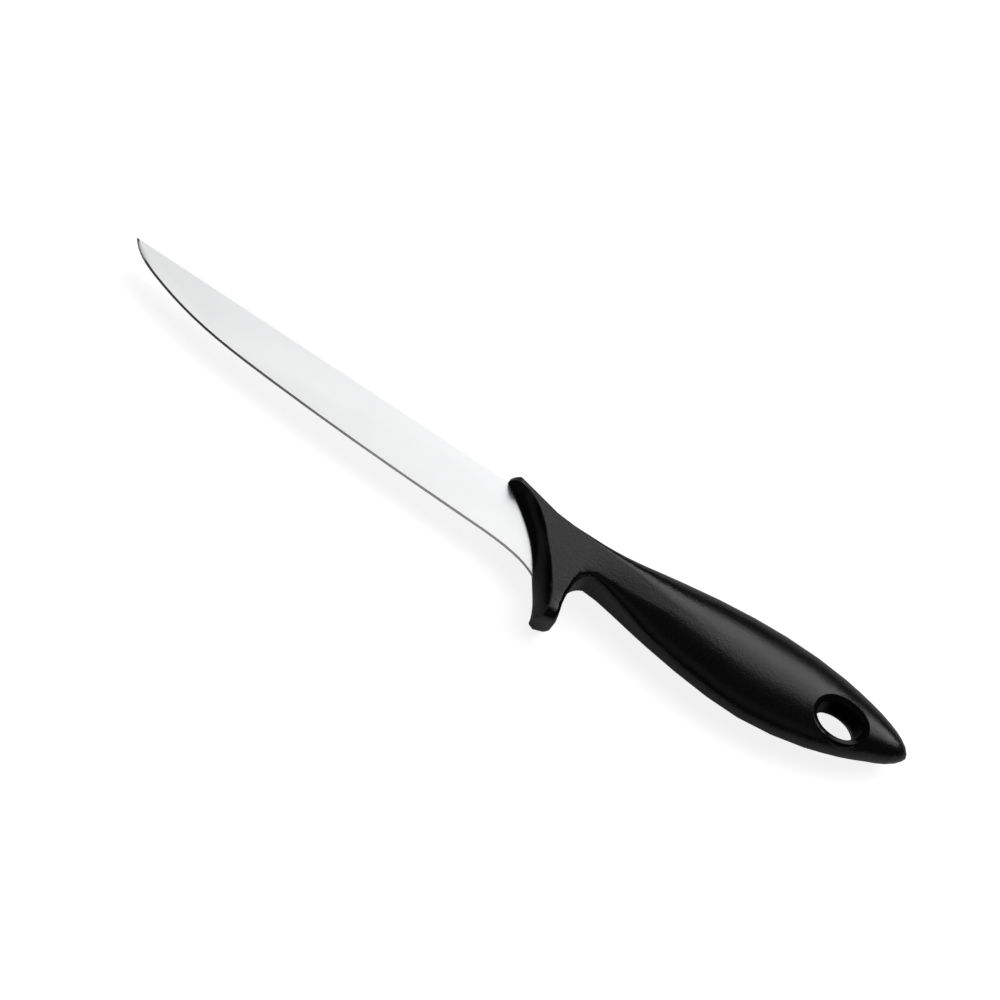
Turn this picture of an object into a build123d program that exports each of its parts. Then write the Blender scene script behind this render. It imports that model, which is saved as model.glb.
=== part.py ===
from build123d import *
import os

# Fillet knife with a moulded two-shot handle, lying on one cheek.
# X runs from the tip to the butt, Y from the cutting edge to the spine, Z up.
# Outlines are drawn with the tip at X = 0, the spine on Y = 0 and the middle of
# the blade on Z = 0. At the end the knife is set down, so that its origin is
# under the middle of its box, on the surface that it rests on.

# Blade
blade_length = 180.0           # tip to heel corner, along the spine
blade_width = 20.2             # spine to edge, at the back of the straight edge
heel_drop = 5.0                # heel corner below the straight edge
spine_thickness = 1.6          # at the guard
tip_thickness = 0.9            # at the tip
edge_thickness = 0.45          # where the wedge ends, just below the heel corner
bevel_height = 0.7             # sharpened strip on each face
bevel_depth = 0.19             # steel that the bevel takes off each face

# Tang, inside the handle
tang_length = 118.0            # front of the guard to the end of the tang
tang_height = 12.0
tang_neck_height = 6.6         # where it passes the finger notch
tang_neck_drop = 9.4           # middle of that neck below the spine
spine_seat = 1.6               # full height of the blade runs this far into the guard
spine_step = 2.0               # step down from the spine behind that
shoulder_length = 12.0         # front of the guard to the neck
tang_slot_length = 8.0         # slots that the core flows through
tang_slot_height = 5.0
tang_slot_count = 2
tang_slot_pitch = 19.0
tang_end_round = 3.0

# Handle
handle_length = 167.7          # front of the guard to the butt
grip_height = 35.0             # at the belly
grip_thickness = 19.0
guard_depth = 38.2             # lowest corner of the guard below the spine
guard_end_rise = 2.4           # slope of the guard's end, front to back
guard_back = 40.6              # back corner of the guard behind its front
guard_end_length = 7.2         # guard's end, front corner to back corner
guard_end_band = 3.2           # core that shows above the guard's end
guard_corner_round = 2.4       # back corner of the guard's end
guard_edge_bevel = 1.6         # guard's back and end into the cheeks
guard_flare_height = 6.8       # the guard's back flares out this far above its corner
guard_flare_round = 13.0
notch_back = 37.9              # back of the guard behind its front, at the notch
notch_round = 7.0
tail_back = 55.6               # the guard tapers out in the neck, this far back
middle_drop = 9.0              # middle line of the handle below the spine

# Hanging hole
throat_length = 14.9           # in the middle of the handle
throat_height = 6.3
mouth_length = 19.4            # at the cheeks
mouth_height = 14.0
rim_bevel = 1.3                # round the mouth
hole_from_butt = 27.0          # centre of the hole to the butt
hole_drop = 9.1                # centre of the hole below the spine

# The two shots of the handle
skin = 1.6                     # grip over the core
skipped_section_count = 2      # the core keeps every third section of the handle
seam_set = 0.4                 # core that shows behind the crease of the guard
lock_width = 4.0               # square plugs of the grip that pass through the core
lock_pitch = 19.0
lock_pair_count = 2

overrun = 2.0                  # how far each cut runs past what it cuts
quarter_turn = 90              # degrees

# Heel corner behind the guard's front, as a share of guard_back
heel_share = 0.633
# Top of the finger notch, before its rounding, as a share of guard_depth
notch_share = 17.6 / 38.2
spine_reach = blade_length - heel_share * guard_back    # tip to the guard's front

# Cutting edge: along blade_length, down blade_width
edge_shares = [(0.010, 0.109), (0.077, 0.431), (0.193, 0.700), (0.347, 0.846), (0.830, 1.0)]
heel_shares = [(0.927, 1.045), (0.965, 1.112)]

# Handle sections: along handle_length; top, middle and bottom by grip_height
# below the spine; thickness by grip_thickness; rounding of top and bottom.
# Ahead of the notch their undersides are inside the guard, which goes lower.
section_shares = [
    (-0.040, -0.022, 0.257, 0.445, 1.000, 0.12, 0.30),
    (0.020, -0.022, 0.257, 0.445, 1.000, 0.12, 0.30),
    (0.070, 0.030, 0.257, 0.445, 1.000, 0.12, 0.30),
    (0.120, 0.083, 0.257, 0.445, 1.000, 0.14, 0.30),
    (0.165, 0.096, 0.257, 0.445, 1.000, 0.18, 0.30),
    (0.205, 0.086, 0.257, 0.445, 1.000, 0.26, 0.30),
    (0.245, 0.073, 0.257, 0.448, 1.000, 0.36, 0.34),
    (0.285, 0.045, 0.257, 0.472, 1.000, 0.48, 0.44),
    (0.330, -0.003, 0.257, 0.522, 1.000, 0.62, 0.58),
    (0.378, -0.065, 0.257, 0.580, 1.000, 0.78, 0.74),
    (0.428, -0.121, 0.257, 0.635, 1.000, 0.90, 0.88),
    (0.499, -0.184, 0.257, 0.692, 1.000, 0.96, 0.96),
    (0.583, -0.231, 0.257, 0.731, 1.000, 0.96, 0.96),
    (0.660, -0.252, 0.250, 0.735, 0.995, 0.96, 0.96),
    (0.738, -0.248, 0.240, 0.690, 0.984, 0.96, 0.96),
    (0.809, -0.218, 0.220, 0.611, 0.953, 0.96, 0.96),
    (0.845, -0.190, 0.205, 0.555, 0.922, 0.96, 0.96),
    (0.881, -0.156, 0.186, 0.490, 0.884, 0.96, 0.96),
    (0.909, -0.122, 0.167, 0.431, 0.843, 0.96, 0.96),
    (0.934, -0.085, 0.151, 0.371, 0.789, 0.96, 0.96),
    (0.953, -0.051, 0.142, 0.330, 0.716, 0.96, 0.96),
    (0.970, -0.011, 0.134, 0.285, 0.621, 0.96, 0.96),
    (0.986, 0.038, 0.131, 0.228, 0.465, 0.96, 0.96),
    (0.996, 0.088, 0.131, 0.175, 0.253, 0.96, 0.96),
    (1.000, 0.121, 0.131, 0.141, 0.063, 0.96, 0.96),
]

# Front of the guard: behind the guard's front by guard_back, down guard_depth,
# once on the middle of the handle and once on the cheek
front_middle_shares = [(0.000, 0.003), (0.141, 0.108), (0.313, 0.246), (0.475, 0.424),
                       (0.650, 0.696), (0.714, 0.793), (0.765, 0.911), (0.805, 1.034),
                       (0.840, 1.152)]
front_cheek_shares = [(0.081, 0.031), (0.219, 0.068), (0.362, 0.152), (0.535, 0.343),
                      (0.720, 0.595), (0.837, 0.822), (0.911, 1.152)]


def at_share(table_length, table_height, shares, start):
    """Points of an outline from its shares of a length and a height."""
    return [(start + along_share * table_length, -down_share * table_height)
            for along_share, down_share in shares]


def make_blade():
    """Blade and tang in one sheet: wedge ground, with a bevel along the edge."""
    edge_points = [(0, 0)] + at_share(blade_length, blade_width, edge_shares + heel_shares, 0)
    heel = (blade_length, -blade_width - heel_drop)
    edge = Spline(*edge_points, heel)

    neck_front = spine_reach + shoulder_length
    neck_back = spine_reach + guard_back + tang_neck_height
    neck_top = -tang_neck_drop + tang_neck_height / 2
    neck_bottom = -tang_neck_drop - tang_neck_height / 2
    tang_front = neck_back + tang_height
    tang_end = spine_reach + tang_length
    tang_top = -middle_drop + tang_height / 2
    tang_bottom = -middle_drop - tang_height / 2
    back = Polyline(
        heel,
        (blade_length + heel_drop, -blade_width),
        (spine_reach + notch_back, neck_bottom),
        (neck_back, neck_bottom),
        (tang_front, tang_bottom),
        (tang_end, tang_bottom),
        (tang_end, tang_top),
        (tang_front, tang_top),
        (neck_back, neck_top),
        (neck_front, neck_top),
        (spine_reach + spine_seat, -spine_step),
        (spine_reach + spine_seat, 0),
        (0, 0),
    )
    side = make_face(edge + back)
    side = fillet(side.vertices().sort_by(Axis.X)[-2:], tang_end_round)
    first_slot = tang_front + tang_slot_length
    for number in range(tang_slot_count):
        slot_place = (first_slot + number * tang_slot_pitch, -middle_drop)
        side -= Pos(*slot_place) * Rectangle(tang_slot_length, tang_slot_height)
    sheet = extrude(Pos(0, 0, -spine_thickness) * side, 2 * spine_thickness)

    # The grind: thick along the spine, thin along the edge, thinner to the tip
    grind_reach = blade_length + heel_drop
    grind = loft([
        grind_section(0, tip_thickness),
        grind_section(grind_reach, spine_thickness),
    ], ruled=True)
    tang_slab = Pos(grind_reach, 0) * Box(
        tang_length + grip_height, 2 * guard_depth, spine_thickness,
        align=(Align.MIN, Align.CENTER, Align.CENTER))
    sheet &= grind + tang_slab

    # The sharpened bevel, along both sides of the thin wall at the edge
    wall = sheet.faces().filter_by(GeomType.EXTRUSION).sort_by(SortBy.AREA)[-1]
    long_edges = wall.edges().sort_by(SortBy.LENGTH)[-2:]
    return chamfer(long_edges, bevel_depth, bevel_height, reference=wall)


def grind_section(along, thickness):
    """Section of the blade's wedge, from above the spine to below the edge."""
    below = -blade_width - heel_drop - overrun
    half_spine = thickness / 2
    half_edge = edge_thickness / 2
    section = Polyline((overrun, -half_spine), (overrun, half_spine), (0, half_spine),
                       (below, half_edge), (below, -half_edge), (0, -half_spine), close=True)
    plane = Plane(origin=(along, 0, 0), x_dir=(0, 1, 0), z_dir=(1, 0, 0))
    return plane * make_face(section)


def section_sizes(shares, inset):
    """Place, flats and corner sizes of one section of the handle, inset all round."""
    along_share, top_share, middle_share, bottom_share, half_share, top_round, bottom_round = shares
    along = spine_reach + along_share * handle_length
    top = -top_share * grip_height - inset
    middle = -middle_share * grip_height
    bottom = -bottom_share * grip_height + inset
    half = half_share * grip_thickness / 2 - inset
    top_corner = (top_round * (top - middle), top_round * half)
    bottom_corner = (bottom_round * (middle - bottom), bottom_round * half)
    plane = Plane(origin=(along, 0, 0), x_dir=(0, 1, 0), z_dir=(1, 0, 0))
    return plane, top, bottom, half, top_corner, bottom_corner


def handle_section(shares):
    """Closed section of the handle's outside: flats joined by quarter ellipses."""
    plane, top, bottom, half, top_corner, bottom_corner = section_sizes(shares, 0)
    top_centre = top - top_corner[0]
    bottom_centre = bottom + bottom_corner[0]
    top_flat = half - top_corner[1]
    bottom_flat = half - bottom_corner[1]
    lines = [
        Line((top, -top_flat), (top, top_flat)),
        quarter((top_centre, top_flat), top_corner, 0),
        Line((top_centre, half), (bottom_centre, half)),
        quarter((bottom_centre, bottom_flat), bottom_corner, 1),
        Line((bottom, bottom_flat), (bottom, -bottom_flat)),
        quarter((bottom_centre, -bottom_flat), bottom_corner, 2),
        Line((bottom_centre, -half), (top_centre, -half)),
        quarter((top_centre, -top_flat), top_corner, 3),
    ]
    return plane * make_face(lines)


def quarter(centre, corner, turns):
    """Quarter of an ellipse, one corner of a handle section."""
    return EllipticalCenterArc(centre, corner[0], corner[1],
                               start_angle=turns * quarter_turn, arc_size=quarter_turn)


def core_section(shares):
    """The same section inset by the skin, with plain straight corners."""
    plane, top, bottom, half, top_corner, bottom_corner = section_sizes(shares, skin)
    right = [
        (top, half - top_corner[1]),
        (top - top_corner[0], half),
        (bottom + bottom_corner[0], half),
        (bottom, half - bottom_corner[1]),
    ]
    left = [(height, -side) for height, side in reversed(right)]
    return plane * make_face(Polyline(*right, *left, close=True))


def guard_side_view():
    """Side view of the guard, with a tail that tapers out inside the neck."""
    front_x = spine_reach - overrun
    back_x = spine_reach + notch_back
    corner = Vector(spine_reach + guard_back, guard_end_rise - guard_depth)
    end_slope = guard_end_rise / guard_end_length
    flare_start = Vector(back_x, corner.Y + guard_flare_height)
    notch_corner = Vector(back_x, -notch_share * guard_depth)
    side = make_face(Polyline(
        (front_x, -middle_drop),
        (front_x, corner.Y - end_slope * (corner.X - front_x)),
        corner,
        flare_start,
        notch_corner,
        (spine_reach + tail_back, -middle_drop),
        close=True,
    ))
    rounds = [(corner, guard_corner_round), (flare_start, guard_flare_round),
              (notch_corner, notch_round)]
    for place, radius in rounds:
        side = fillet(side.vertices().sort_by_distance(place)[0], radius)
    return side


def guard_plate():
    """The guard with bevelled edges, its front still uncut."""
    half = grip_thickness / 2
    plate = extrude(Pos(0, 0, -half) * guard_side_view(), grip_thickness)
    bevelled = [edge for edge in plate.edges()
                if abs(edge.center().Z) > half / 2
                and edge.center().Y < -middle_drop and edge.center().X > spine_reach]
    return chamfer(bevelled, guard_edge_bevel)


def front_points(level):
    """Front of the guard in side view, at a height above the middle."""
    bulge = (2 * level / grip_thickness) ** 2
    middle = at_share(guard_back, guard_depth, front_middle_shares, spine_reach)
    cheek = at_share(guard_back, guard_depth, front_cheek_shares, spine_reach)
    return [(middle_x + (cheek_x - middle_x) * bulge, middle_y + (cheek_y - middle_y) * bulge)
            for (middle_x, middle_y), (cheek_x, cheek_y) in zip(middle, cheek)]


def front_cutter():
    """Everything ahead of the crescent front, which curves back to the cheeks."""
    level = grip_thickness / 2 + overrun
    ahead = spine_reach - grip_height
    below = -2 * guard_depth
    sections = []
    for height in (-level, 0, level):
        points = front_points(height)
        first, last = points[0], points[-1]
        box = Polyline(last, (last[0], below), (ahead, below), (ahead, middle_drop),
                       (first[0], middle_drop), first)
        sections.append(Pos(0, 0, height) * make_face([Spline(*points), box]))
    return loft(sections)


def handle_block():
    """Handle without its crescent front and its hole."""
    grip = loft([handle_section(shares) for shares in section_shares], ruled=True)
    return grip + guard_plate()


def inner_block():
    """The hidden form of the core, about a skin inside the handle."""
    rows = section_shares[:-2:skipped_section_count + 1]
    grip = loft([core_section(shares) for shares in rows], ruled=True)
    half = grip_thickness / 2 - skin
    side = offset(guard_side_view(), -skin)
    return grip + extrude(Pos(0, 0, -half) * side, 2 * half)


def hole_centre():
    """Middle of the hanging hole."""
    return Vector(spine_reach + handle_length - hole_from_butt, -hole_drop, 0)


def hole_oval(length, height):
    """Oval about the middle of the hanging hole."""
    centre = hole_centre()
    return Pos(centre.X, centre.Y) * Ellipse(length / 2, height / 2)


def hole_cutter():
    """Hanging hole, which narrows from both cheeks to a throat in the middle."""
    half = grip_thickness / 2
    depth = half + overrun
    wide_length = throat_length + (mouth_length - throat_length) * depth / half
    wide_height = throat_height + (mouth_height - throat_height) * depth / half
    wide = Pos(0, 0, depth) * hole_oval(wide_length, wide_height)
    upper = loft([hole_oval(throat_length, throat_height), wide], ruled=True)
    return upper + mirror(upper, Plane.XY)


def handle_outside():
    """Outer form of the whole handle, with its crescent front and hanging hole."""
    body = handle_block() - front_cutter() - hole_cutter()
    middle = hole_centre()
    rim_edges = [edge for edge in body.edges()
                 if abs(edge.center().Z) > skin
                 and abs(edge.center().X - middle.X) < mouth_length / 2
                 and abs(edge.center().Y - middle.Y) < mouth_length / 2]
    return chamfer(rim_edges, rim_bevel)


def core_region():
    """Space of the hard first shot: inside the skin, at the guard's front and
    end, and round the hanging hole. The grip's plugs pass through it."""
    inside = inner_block()
    cheek = [(x + seam_set, y) for x, y in
             at_share(guard_back, guard_depth, front_cheek_shares, spine_reach)]
    ahead = spine_reach - overrun
    below = -2 * guard_depth
    crescent = make_face([
        Spline(*cheek),
        Polyline(cheek[-1], (cheek[-1][0], below), (ahead, below), (ahead, middle_drop),
                 (cheek[0][0], middle_drop), cheek[0]),
    ])
    front_x = spine_reach + guard_back - 2 * guard_end_length
    front_y = guard_end_band - guard_depth - guard_end_rise
    back_x = front_x + 3 * guard_end_length
    back_y = front_y + 3 * guard_end_rise
    end_band = make_face(Polyline(
        (front_x, front_y), (back_x, back_y), (back_x, below), (front_x, below), close=True))
    shown = extrude(crescent + end_band, grip_thickness, both=True)
    lining = hole_oval(mouth_length + 2 * rim_bevel, mouth_height + 2 * rim_bevel)
    ring = extrude(Pos(0, 0, -grip_thickness) * lining, 2 * grip_thickness)
    region = inside + shown + ring
    return region - lock_plugs()


def lock_plugs():
    """Plugs of the grip, in pairs above and below the tang."""
    first_x = spine_reach + guard_back + grip_height + lock_width
    above = -middle_drop + tang_height / 2 + lock_width
    below = -middle_drop - tang_height / 2 - lock_width
    places = [(first_x + number * lock_pitch, height)
              for number in range(lock_pair_count) for height in (above, below)]
    plugs = [Pos(*place) * Rectangle(lock_width, lock_width) for place in places]
    return extrude(Sketch() + plugs, grip_thickness, both=True)


blade = make_blade()
handle = handle_outside()
core_space = core_region()
handle_core = (handle & core_space) - blade
handle_grip = handle - handle_core - blade

# Set the knife down on its cheek, with the origin under the middle of its box
pieces = {"blade": blade, "handle_core": handle_core, "handle_grip": handle_grip}
box = Compound(list(pieces.values())).bounding_box()
set_down = Pos(-box.center().X, -box.center().Y, -box.min.Z)

os.makedirs("parts", exist_ok=True)
for name, piece in pieces.items():
    placed = set_down * piece
    print(name, "solids:", len(placed.solids()), "volume:", round(placed.volume))
    export_step(placed, f"parts/{name}.step")
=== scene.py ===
import math

import bpy
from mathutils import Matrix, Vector


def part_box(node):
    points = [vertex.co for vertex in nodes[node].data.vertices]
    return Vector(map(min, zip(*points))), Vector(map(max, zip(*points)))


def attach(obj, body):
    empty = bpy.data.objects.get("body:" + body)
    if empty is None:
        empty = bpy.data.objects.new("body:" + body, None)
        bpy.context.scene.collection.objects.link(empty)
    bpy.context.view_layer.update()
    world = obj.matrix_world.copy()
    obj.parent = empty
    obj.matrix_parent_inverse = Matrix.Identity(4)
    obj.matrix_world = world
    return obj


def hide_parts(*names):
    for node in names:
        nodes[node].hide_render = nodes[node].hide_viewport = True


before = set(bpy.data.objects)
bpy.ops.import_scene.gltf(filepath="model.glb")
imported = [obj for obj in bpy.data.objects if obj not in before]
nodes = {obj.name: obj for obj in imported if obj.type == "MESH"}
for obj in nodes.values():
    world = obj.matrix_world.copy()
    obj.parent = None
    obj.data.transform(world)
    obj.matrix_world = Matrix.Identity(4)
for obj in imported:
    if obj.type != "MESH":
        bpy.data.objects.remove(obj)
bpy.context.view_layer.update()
print("frame loaded:", ", ".join(sorted(nodes)))


class Signal:
    # wraps a socket, so that shader maths reads as maths
    def __init__(self, tree, socket=None):
        self.tree = tree
        self.socket = socket

    def node(self, kind, settings=None, sockets=None, output=0):
        # any node: its settings first, then the values or links of its sockets
        made = self.tree.nodes.new(kind)
        for name, value in (settings or {}).items():
            setattr(made, name, value)
        for name, value in (sockets or {}).items():
            if isinstance(value, Signal):
                self.tree.links.new(value.socket, made.inputs[name])
            else:
                made.inputs[name].default_value = value
        return Signal(self.tree, made.outputs[output] if made.outputs else None)

    def parts(self, axis):
        # one number of a vector
        return self.node("ShaderNodeSeparateXYZ", {}, {0: self}, axis)

    def other(self, name):
        # another output of the same node
        return Signal(self.tree, self.socket.node.outputs[name])

    def maths(self, operation, first, second=0.0):
        return self.node("ShaderNodeMath", {"operation": operation}, {0: first, 1: second})

    def __add__(self, other):
        return self.maths("ADD", self, other)

    def __sub__(self, other):
        return self.maths("SUBTRACT", self, other)

    def __mul__(self, other):
        return self.maths("MULTIPLY", self, other)

    def __radd__(self, other):
        return self.maths("ADD", other, self)

    def __rsub__(self, other):
        return self.maths("SUBTRACT", other, self)

    def __rmul__(self, other):
        return self.maths("MULTIPLY", other, self)

    def __abs__(self):
        return self.maths("ABSOLUTE", self)

    def band(self, low, high):
        # 0 below low, 1 above high, smooth between
        return self.node("ShaderNodeMapRange", {"interpolation_type": "SMOOTHSTEP"},
                         {"Value": self, "From Min": low, "From Max": high})


def blendColours(graph, factor, first, second):
    # a Mix node's colour sockets share their names with others, so they go by number
    return graph.node("ShaderNodeMix", {"data_type": "RGBA"},
                      {0: factor, 6: first, 7: second}, output=2)


def startMaterial(name, constants):
    # a Principled surface with its constant values set on its own sockets
    material = bpy.data.materials.new(name)
    material.use_nodes = True
    tree = material.node_tree
    shader = tree.nodes["Principled BSDF"]
    for socketName, value in constants.items():
        shader.inputs[socketName].default_value = value
    return material, Signal(tree), shader


def feed(graph, shader, socketName, signal):
    graph.tree.links.new(signal.socket, shader.inputs[socketName])


# materials

steelLook = {
    "light": (0.760, 0.763, 0.768, 1.0),
    "dark": (0.682, 0.686, 0.692, 1.0),
    "paintedLightMiddle": 0.005,      # along Y, where the painted light toward the edge is at its middle
    "paintedEdgeLightRate": 26.0,         # per metre, painted light that grows from the spine to the edge
    "toneBand": (0.25, 0.75),
    "lineTone": 0.35,         # how much the grind lines and the drift change the tone
    "driftTone": 0.6,
    "roughness": 0.24,
    "roughnessSpread": 0.10,
    "lineRoughness": 0.06,
    "bevelRoughness": 0.30,   # added on the sharpened strip, toward the heel
    "bevelFrom": -0.13,       # along X
    "bevelTo": -0.04,
    "bevelLean": (0.972, 0.990),   # upright part of the normal, on the strip and off it
    "grindLength": 60.0,      # per metre, along each grind line
    "grindFineness": 5200.0,  # per metre, across the grind lines
    "grindDepth": 0.000004,
    "grindBump": 0.35,
    "driftScale": 26.0,       # per metre
}


def groundSteel():
    look = steelLook
    material, graph, shader = startMaterial("groundSteel", {"Metallic": 1.0})
    place = graph.node("ShaderNodeTexCoord", output="Object")
    # fine grind lines that run from the spine to the edge
    stretch = (look["grindFineness"], look["grindLength"], look["grindLength"])
    across = graph.node("ShaderNodeMapping", {}, {"Vector": place, "Scale": stretch})
    lines = graph.node("ShaderNodeTexNoise", {}, {
        "Vector": across, "Scale": 1.0, "Detail": 3.0, "Roughness": 0.6})
    # slow drift of the polish along the blade
    drift = graph.node("ShaderNodeTexNoise", {}, {
        "Vector": place, "Scale": look["driftScale"], "Detail": 4.0, "Roughness": 0.5})
    # painted light: the colour grows lighter from the spine toward the edge, evening out how
    # the key light falls across the blade
    paintedEdgeLight = 0.5 - (place.parts("Y") - look["paintedLightMiddle"]) * look["paintedEdgeLightRate"]
    # the tone mixes the real grind lines and drift with the painted edge light
    tone = (lines - 0.5) * look["lineTone"] + (drift - 0.5) * look["driftTone"] + paintedEdgeLight
    feed(graph, shader, "Base Color",
         blendColours(graph, tone.band(*look["toneBand"]), look["dark"], look["light"]))
    # the sharpened strip leans away from the flats, and is ground coarser to the heel
    facing = graph.node("ShaderNodeTexCoord", output="Normal")
    strip = 1.0 - abs(facing.parts("Z")).band(*look["bevelLean"])
    coarse = strip * place.parts("X").band(look["bevelFrom"], look["bevelTo"])
    feed(graph, shader, "Roughness",
         look["roughness"] + (drift - 0.5) * look["roughnessSpread"]
         + (lines - 0.5) * look["lineRoughness"] + coarse * look["bevelRoughness"])
    bump = graph.node("ShaderNodeBump", {}, {
        "Strength": look["grindBump"], "Distance": look["grindDepth"], "Height": lines})
    feed(graph, shader, "Normal", bump)
    return material


coreLook = {
    "colour": (0.0025, 0.0025, 0.0028, 1.0),
    "rubbed": (0.0045, 0.0045, 0.0048, 1.0),
    "roughness": 0.26,
    "rubbedRoughness": 0.12,   # added where it is rubbed
    "rubbedBand": (0.52, 0.70),
    "flowShare": 0.6,
    "scuffShare": 0.4,
    "refraction": 1.50,
    "gloss": 0.20,
    "flowScale": 55.0,         # per metre
    "scuffScale": 1400.0,
    "scuffHeight": 0.15,       # as a share of the flow's
    "waves": 0.00003,
    "waveBump": 0.25,
}


def smoothBlack():
    look = coreLook
    material, graph, shader = startMaterial("smoothBlack", {
        "IOR": look["refraction"], "Specular IOR Level": look["gloss"]})
    place = graph.node("ShaderNodeTexCoord", output="Object")
    flow = graph.node("ShaderNodeTexNoise", {}, {
        "Vector": place, "Scale": look["flowScale"], "Detail": 3.0, "Roughness": 0.5})
    scuffs = graph.node("ShaderNodeTexNoise", {}, {
        "Vector": place, "Scale": look["scuffScale"], "Detail": 4.0, "Roughness": 0.7})
    wear = flow * look["flowShare"] + scuffs * look["scuffShare"]
    rubbed = wear.band(*look["rubbedBand"])
    feed(graph, shader, "Base Color",
         blendColours(graph, rubbed, look["colour"], look["rubbed"]))
    feed(graph, shader, "Roughness", look["roughness"] + rubbed * look["rubbedRoughness"])
    bump = graph.node("ShaderNodeBump", {}, {
        "Strength": look["waveBump"], "Distance": look["waves"],
        "Height": flow + scuffs * look["scuffHeight"]})
    feed(graph, shader, "Normal", bump)
    return material


gripLook = {
    "colour": (0.0036, 0.0037, 0.0040, 1.0),
    # painted light on the grain: its tops coloured lighter, its pits left darker as painted
    # shade
    "paintedGrainLight": (0.0085, 0.0088, 0.0094, 1.0),
    "roughness": 0.24,
    "grainRoughness": 0.12,   # how much it changes from grain to grain
    "polish": 0.05,           # taken off where the hand rubs
    "refraction": 1.50,
    "gloss": 0.35,
    "grainScale": 1900.0,     # per metre
    "grainDepth": 0.00013,
    "grainBump": 0.60,
    "pitShare": 0.5,          # what each pattern adds to the grain's height
    "warpShare": 0.35,
    "fineShare": 0.25,
    "paintedGrainLightBand": (0.45, 0.85),
    "handScale": 38.0,        # per metre
    "handBand": (0.42, 0.68),
}


def grainedBlack():
    look = gripLook
    material, graph, shader = startMaterial("grainedBlack", {
        "IOR": look["refraction"], "Specular IOR Level": look["gloss"]})
    place = graph.node("ShaderNodeTexCoord", output="Object")
    scale = look["grainScale"]
    # spark-eroded grain: small rounded pits of uneven size
    warp = graph.node("ShaderNodeTexNoise", {}, {
        "Vector": place, "Scale": scale * 0.55, "Detail": 2.0, "Roughness": 0.5})
    pits = graph.node("ShaderNodeTexVoronoi", {"feature": "SMOOTH_F1"}, {
        "Vector": place, "Scale": scale, "Smoothness": 0.6})
    fine = graph.node("ShaderNodeTexNoise", {}, {
        "Vector": place, "Scale": scale * 1.4, "Detail": 3.0, "Roughness": 0.65})
    height = ((1.0 - pits) * look["pitShare"] + warp * look["warpShare"]
              + fine * look["fineShare"])
    # where the hand rubs, the tops of the grain are a little polished
    hand = graph.node("ShaderNodeTexNoise", {}, {
        "Vector": place, "Scale": look["handScale"], "Detail": 3.0, "Roughness": 0.5})
    polish = hand.band(*look["handBand"])
    # painted highlight and painted shade: the grain's tops are coloured lighter than its
    # pits
    paintedGrainLight = height.band(*look["paintedGrainLightBand"])
    feed(graph, shader, "Base Color",
         blendColours(graph, paintedGrainLight, look["colour"], look["paintedGrainLight"]))
    feed(graph, shader, "Roughness",
         look["roughness"] - polish * look["polish"] + (fine - 0.5) * look["grainRoughness"])
    bump = graph.node("ShaderNodeBump", {}, {
        "Strength": look["grainBump"], "Distance": look["grainDepth"], "Height": height})
    feed(graph, shader, "Normal", bump)
    return material


# pieces: each stands for its CAD node, merged and smooth where the solid is smooth


def deselectAll():
    bpy.ops.object.select_all(action="DESELECT")


def mergedCopy(nodeName, pieceName, settings):
    # a node's loose triangles as one closed mesh, flat faces as one polygon each
    deselectAll()
    piece = nodes[nodeName].copy()
    piece.data = nodes[nodeName].data.copy()
    piece.name = pieceName
    piece.data.name = pieceName
    for key in list(piece.keys()):
        if key.startswith("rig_"):
            del piece[key]
    piece.parent = None
    bpy.context.scene.collection.objects.link(piece)
    piece.select_set(True)
    bpy.context.view_layer.objects.active = piece
    bpy.ops.object.mode_set(mode="EDIT")
    bpy.ops.mesh.select_all(action="SELECT")
    bpy.ops.mesh.remove_doubles(threshold=settings["merge"])
    bpy.ops.mesh.normals_make_consistent(inside=False)
    bpy.ops.mesh.dissolve_limited(angle_limit=math.radians(settings["flatAngle"]))
    bpy.ops.object.mode_set(mode="OBJECT")
    return piece


def finishPiece(piece, material, settings):
    # smooth shading, in which small chamfers read as rounded edges
    if piece.data.has_custom_normals:
        bpy.ops.mesh.customdata_custom_splitnormals_clear()
    bpy.ops.object.shade_smooth_by_angle(angle=math.radians(settings["smoothAngle"]))
    even = piece.modifiers.new("evenNormals", "WEIGHTED_NORMAL")
    even.keep_sharp = True
    bpy.ops.object.modifier_apply(modifier=even.name)
    piece.data.materials.clear()
    piece.data.materials.append(material)
    piece.select_set(False)


# the guard's end is eased at both cheeks, and the cheeks roll toward the notch

guardEnd = {
    "top": -0.0125,       # height along Y where the easing begins
    "front": 0.0245,      # X of the end's front and back corners
    "back": 0.0340,
    "rows": 7,            # cuts that give it its roundness
    "levels": (0.45, 0.70, 0.90),   # as a share of half the thickness
    "before": 0.016,      # how far the cuts reach from the back corner, along X
    "behind": 0.010,
    "margin": 0.001,      # and below the guard's end
    "cheekIn": 0.0017,    # how far the back edge goes in at the cheeks
    "cheekUp": 0.0004,    # how far the end goes up there
    "cornerIn": 0.0012,   # how far the front corner goes back in the middle
    "cornerOut": 0.0031,  # how far the back corner goes out there
    "cornerFade": 0.6,    # share of that which is gone at the cheeks
    "cornerHeight": 0.0050,
}

neckRoll = {
    "start": 0.0300,      # along X: none here, full between, none again
    "full": (0.0440, 0.0600),
    "end": 0.0860,
    "top": 0.0095,        # along Y: flat above this
    "bottom": -0.0035,    # and rolled by the depth here
    "depth": 0.0011,
    "deepest": 1.3,       # of the way from top to bottom, where it stops growing
    "growth": 1.7,        # the power it grows by
    "margin": 0.006,      # the cuts run this far below the bottom
    "columns": 11,
    "rows": 6,
    "inward": 0.45,       # share of the thickness that keeps its place
}


def ramp(value, low, high):
    # 0 at low, 1 at high, smooth between
    share = min(1.0, max(0.0, (value - low) / (high - low)))
    return share * share * (3.0 - 2.0 * share)


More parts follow.
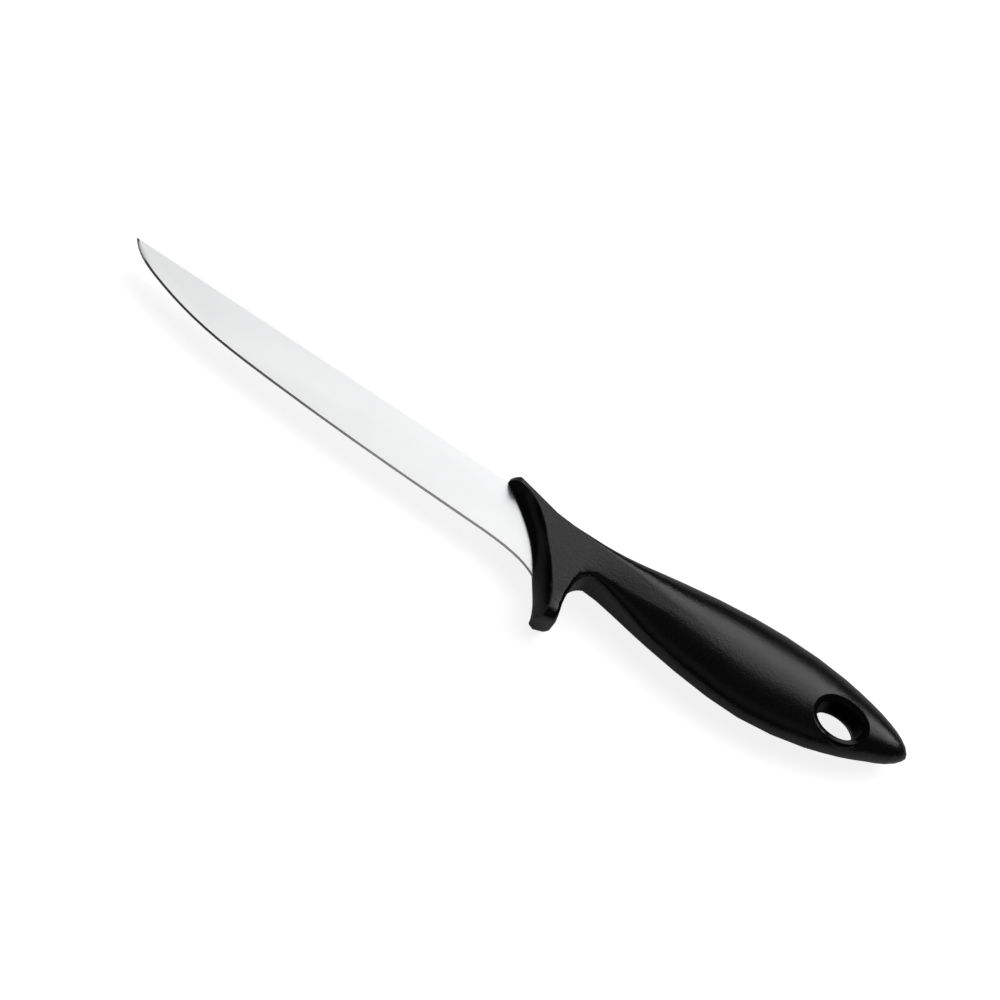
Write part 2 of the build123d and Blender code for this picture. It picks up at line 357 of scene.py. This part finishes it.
def cutAcross(piece, corner, farCorner, place, normal):
    # one cut through every face that reaches into a rectangle seen from above
    points = piece.data.vertices
    for face in piece.data.polygons:
        acrossX = [points[index].co.x for index in face.vertices]
        acrossY = [points[index].co.y for index in face.vertices]
        face.select = (min(acrossX) < farCorner[0] and max(acrossX) > corner[0]
                       and min(acrossY) < farCorner[1] and max(acrossY) > corner[1])
    bpy.ops.object.mode_set(mode="EDIT")
    bpy.ops.mesh.bisect(plane_co=place, plane_no=normal)
    bpy.ops.mesh.select_all(action="DESELECT")
    bpy.ops.object.mode_set(mode="OBJECT")


def handleMiddle():
    # height of the handle's middle plane, and half its thickness
    low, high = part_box("handle_core")
    return (low.z + high.z) / 2, (high.z - low.z) / 2


def easeGuardEnd(piece):
    look = guardEnd
    low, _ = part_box("handle_core")
    middle, half = handleMiddle()
    corner = (look["back"] - look["before"], low.y - look["margin"])
    farCorner = (look["back"] + look["behind"], look["top"])
    for row in range(look["rows"]):
        height = look["top"] + (low.y - look["top"]) * row / look["rows"]
        cutAcross(piece, corner, farCorner, (0.0, height, 0.0), (0.0, 1.0, 0.0))
    for level in look["levels"]:
        for side in (-1.0, 1.0):
            cutAcross(piece, corner, farCorner,
                      (0.0, 0.0, middle + side * level * half), (0.0, 0.0, 1.0))
    for vertex in piece.data.vertices:
        place = vertex.co
        if place.y > look["top"] or abs(place.x - look["back"]) > look["before"]:
            continue
        outward = abs(place.z - middle) / half
        depth = ramp(place.y, look["top"], low.y)
        backward = ramp(place.x, look["front"], look["back"])
        rounding = ramp(place.y, low.y + look["cornerHeight"], low.y)
        bulge = 1.0 - look["cornerFade"] * outward ** 2
        place.x -= look["cheekIn"] * outward ** 2 * depth * backward
        place.x += look["cornerIn"] * (1.0 - outward ** 2) * rounding * (1.0 - backward)
        place.x += look["cornerOut"] * bulge * rounding * backward
        place.y += look["cheekUp"] * outward ** 3 * depth


def cutNeck(piece):
    # a grid of cuts, so that the flat cheeks can take the roll
    look = neckRoll
    corner = (look["start"], look["bottom"] - look["margin"])
    farCorner = (look["end"], look["top"])
    for column in range(look["columns"] + 1):
        along = look["start"] + (look["end"] - look["start"]) * column / look["columns"]
        cutAcross(piece, corner, farCorner, (along, 0.0, 0.0), (1.0, 0.0, 0.0))
    for row in range(look["rows"] + 1):
        height = look["bottom"] + (look["top"] - look["bottom"]) * row / look["rows"]
        cutAcross(piece, corner, farCorner, (0.0, height, 0.0), (0.0, 1.0, 0.0))


def rollNeck(piece):
    look = neckRoll
    middle, half = handleMiddle()
    for vertex in piece.data.vertices:
        place = vertex.co
        if not look["start"] < place.x < look["end"] or place.y > look["top"]:
            continue
        outward = abs(place.z - middle) / half
        skin = max(0.0, outward - look["inward"]) / (1.0 - look["inward"])
        fullFrom, fullTo = look["full"]
        along = (ramp(place.x, look["start"], fullFrom)
                 * ramp(place.x, look["end"], fullTo))
        down = min(look["deepest"],
                   (look["top"] - place.y) / (look["top"] - look["bottom"]))
        shift = look["depth"] * along * down ** look["growth"] * skin
        place.z += shift if place.z < middle else -shift


# the blade's corner behind the spine, which goes up until it meets the guard

shoulder = {
    "left": -0.0056, "right": -0.0046,    # found between these, along X
    "below": 0.0126, "above": 0.0136,     # and these, along Y
    "rise": 0.0008,
    "spread": 0.000012,   # each face also goes out by this much there
}


def raiseShoulder(piece):
    look = shoulder
    middle, _ = handleMiddle()
    for vertex in piece.data.vertices:
        place = vertex.co
        if (look["left"] < place.x < look["right"]
                and look["below"] < place.y < look["above"]):
            place.y += look["rise"]
            place.z += math.copysign(look["spread"], place.z - middle)


# the merge is in metres, the angles in degrees

bladePiece = {"merge": 0.000002, "flatAngle": 0.02, "smoothAngle": 12.0}
corePiece = {"merge": 0.000002, "flatAngle": 0.05, "smoothAngle": 50.0}
gripPiece = {"merge": 0.000002, "flatAngle": 0.05, "smoothAngle": 50.0}

blade = mergedCopy("blade", "groundBlade", bladePiece)
raiseShoulder(blade)
finishPiece(blade, groundSteel(), bladePiece)
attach(blade, "root")
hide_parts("blade")
print("blade made:", len(blade.data.polygons), "faces")

core = mergedCopy("handle_core", "smoothCore", corePiece)
easeGuardEnd(core)
rollNeck(core)
finishPiece(core, smoothBlack(), corePiece)
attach(core, "root")
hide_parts("handle_core")
print("core made:", len(core.data.polygons), "faces")

grip = mergedCopy("handle_grip", "grainedGrip", gripPiece)
easeGuardEnd(grip)
cutNeck(grip)
rollNeck(grip)
finishPiece(grip, grainedBlack(), gripPiece)
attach(grip, "root")
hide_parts("handle_grip")
print("grip made:", len(grip.data.polygons), "faces")


# floor and backdrop in one sheet

floorLook = {
    "size": 16.0,
    "drop": 0.0001,       # below the knife
    "colour": (0.50, 0.50, 0.50, 1.0),
    "mottle": (0.48, 0.48, 0.48, 1.0),
    "lift": 0.86,         # added where the camera sees it, so that the page is white
    "mirrorLift": 0.10,   # added where a gloss, a mirror or glass shows it
    "mottleScale": 180.0,
}


def paleFloor():
    look = floorLook
    deselectAll()
    bpy.ops.mesh.primitive_plane_add(size=look["size"], location=(0.0, 0.0, -look["drop"]))
    floor = bpy.context.active_object
    bpy.ops.object.transform_apply(location=True, rotation=True, scale=True)
    floor.name = "paleFloor"
    material = bpy.data.materials.new("palePaper")
    material.use_nodes = True
    tree = material.node_tree
    tree.nodes.clear()
    graph = Signal(tree)
    place = graph.node("ShaderNodeTexCoord", output="Object")
    mottle = graph.node("ShaderNodeTexNoise", {}, {
        "Vector": place, "Scale": look["mottleScale"], "Detail": 3.0, "Roughness": 0.5})
    colour = blendColours(graph, mottle, look["colour"], look["mottle"])
    paper = graph.node("ShaderNodeBsdfDiffuse", {}, {"Color": colour})
    rays = graph.node("ShaderNodeLightPath", output="Is Camera Ray")
    mirrored = rays.other("Is Glossy Ray") + rays.other("Is Transmission Ray")
    glow = graph.node("ShaderNodeEmission", {}, {
        "Strength": rays * look["lift"] + mirrored * look["mirrorLift"]})
    shown = graph.node("ShaderNodeAddShader", {}, {0: paper, 1: glow})
    graph.node("ShaderNodeOutputMaterial", {}, {"Surface": shown})
    floor.data.materials.append(material)
    floor.select_set(False)


paleFloor()
print("floor made")


# lights

keyPanel = {
    "angle": 35.0,      # tipped from overhead toward the spine's side
    "distance": 1.00,
    "along": 0.25,      # toward the butt
    "width": 1.50,
    "height": 0.97,
    "power": 13.0,
    "tipEnd": 0.58,     # its brightness at the tip's end, and at the butt's end
    "buttEnd": 1.70,
    "nearEdge": 0.14,   # and at the edge that is nearest overhead
    "nearWidth": 0.60,  # share of its height over which it grows to full
    "farWidth": 0.20,   # and falls again at the other edge
}
fillPanel = {
    "angle": -52.0,     # on the cutting edge's side
    "distance": 1.10,
    "along": 0.0,
    "width": 1.60,
    "height": 0.70,
    "power": 0.48,
    "tipEnd": 1.0,      # even along its width
    "buttEnd": 1.0,
    "nearEdge": 0.0,
    "nearWidth": 0.3,
    "farWidth": 0.3,
}


def addPanel(name, panel):
    # a soft panel above the knife, graded along its width and toward both long edges
    turn = math.radians(panel["angle"])
    data = bpy.data.lights.new(name, "AREA")
    data.shape = "RECTANGLE"
    data.size = panel["width"]
    data.size_y = panel["height"]
    data.energy = panel["power"]
    data.use_nodes = True
    tree = data.node_tree
    tree.nodes.clear()
    graph = Signal(tree)
    spot = graph.node("ShaderNodeNewGeometry", output="Parametric")
    along = panel["tipEnd"] + spot.parts("X") * (panel["buttEnd"] - panel["tipEnd"])
    height = spot.parts("Y")
    rise = height.band(0.0, panel["nearWidth"])
    fall = (1.0 - height).band(0.0, panel["farWidth"])
    strength = along * (panel["nearEdge"] + rise * fall * (1.0 - panel["nearEdge"]))
    glow = graph.node("ShaderNodeEmission", {}, {"Strength": strength})
    graph.node("ShaderNodeOutputLight", {}, {"Surface": glow})
    light = bpy.data.objects.new(name, data)
    bpy.context.scene.collection.objects.link(light)
    light.location = (panel["along"], math.sin(turn) * panel["distance"],
                      math.cos(turn) * panel["distance"])
    light.rotation_euler = (-turn, 0.0, 0.0)


addPanel("keyPanel", keyPanel)
addPanel("fillPanel", fillPanel)

roomLook = {"colour": (1.0, 1.0, 1.0, 1.0), "strength": 0.03}


def softRoom():
    look = roomLook
    world = bpy.data.worlds.new("softRoom")
    bpy.context.scene.world = world
    world.use_nodes = True
    tree = world.node_tree
    tree.nodes.clear()
    graph = Signal(tree)
    room = graph.node("ShaderNodeBackground", {}, {
        "Color": look["colour"], "Strength": look["strength"]})
    graph.node("ShaderNodeOutputWorld", {}, {"Surface": room})


softRoom()
print("lights made")


# camera

cameraView = {
    "elevation": 66.5,        # degrees above the cutting edge's side
    "roll": 33.4,
    "distance": 1.20,
    "pixelsPerMetre": 2880.0,
    "pixels": 1000.0,
    "tipPixel": (137.0, 238.0),
    "sensor": 36.0,           # millimetres
    "clip": (0.01, 20.0),
}


def addCamera():
    look = cameraView
    lift = math.radians(look["elevation"])
    roll = math.radians(look["roll"])
    toCamera = Vector((0.0, -math.cos(lift), math.sin(lift)))
    levelRight = Vector((1.0, 0.0, 0.0))
    levelUp = Vector((0.0, math.sin(lift), math.cos(lift)))
    right = levelRight * math.cos(roll) + levelUp * math.sin(roll)
    up = levelUp * math.cos(roll) - levelRight * math.sin(roll)
    low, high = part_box("blade")
    tip = Vector((low.x, high.y, (low.z + high.z) / 2))
    # the tip's pixel fixes the camera's aim
    half = look["pixels"] / 2
    tipRight = (look["tipPixel"][0] - half) / look["pixelsPerMetre"]
    tipUp = (half - look["tipPixel"][1]) / look["pixelsPerMetre"]
    aim = tip - right * tipRight - up * tipUp
    data = bpy.data.cameras.new("photoCamera")
    data.sensor_width = look["sensor"]
    data.lens = look["sensor"] * look["distance"] * look["pixelsPerMetre"] / look["pixels"]
    data.clip_start, data.clip_end = look["clip"]
    camera = bpy.data.objects.new("photoCamera", data)
    bpy.context.scene.collection.objects.link(camera)
    matrix = camera.matrix_world.to_3x3()
    for row in range(3):
        matrix[row][0] = right[row]
        matrix[row][1] = up[row]
        matrix[row][2] = toCamera[row]
    camera.matrix_world = matrix.to_4x4()
    camera.location = aim + toCamera * look["distance"]
    bpy.context.scene.camera = camera


addCamera()
bpy.context.scene.view_settings.view_transform = "Standard"
print("camera set")
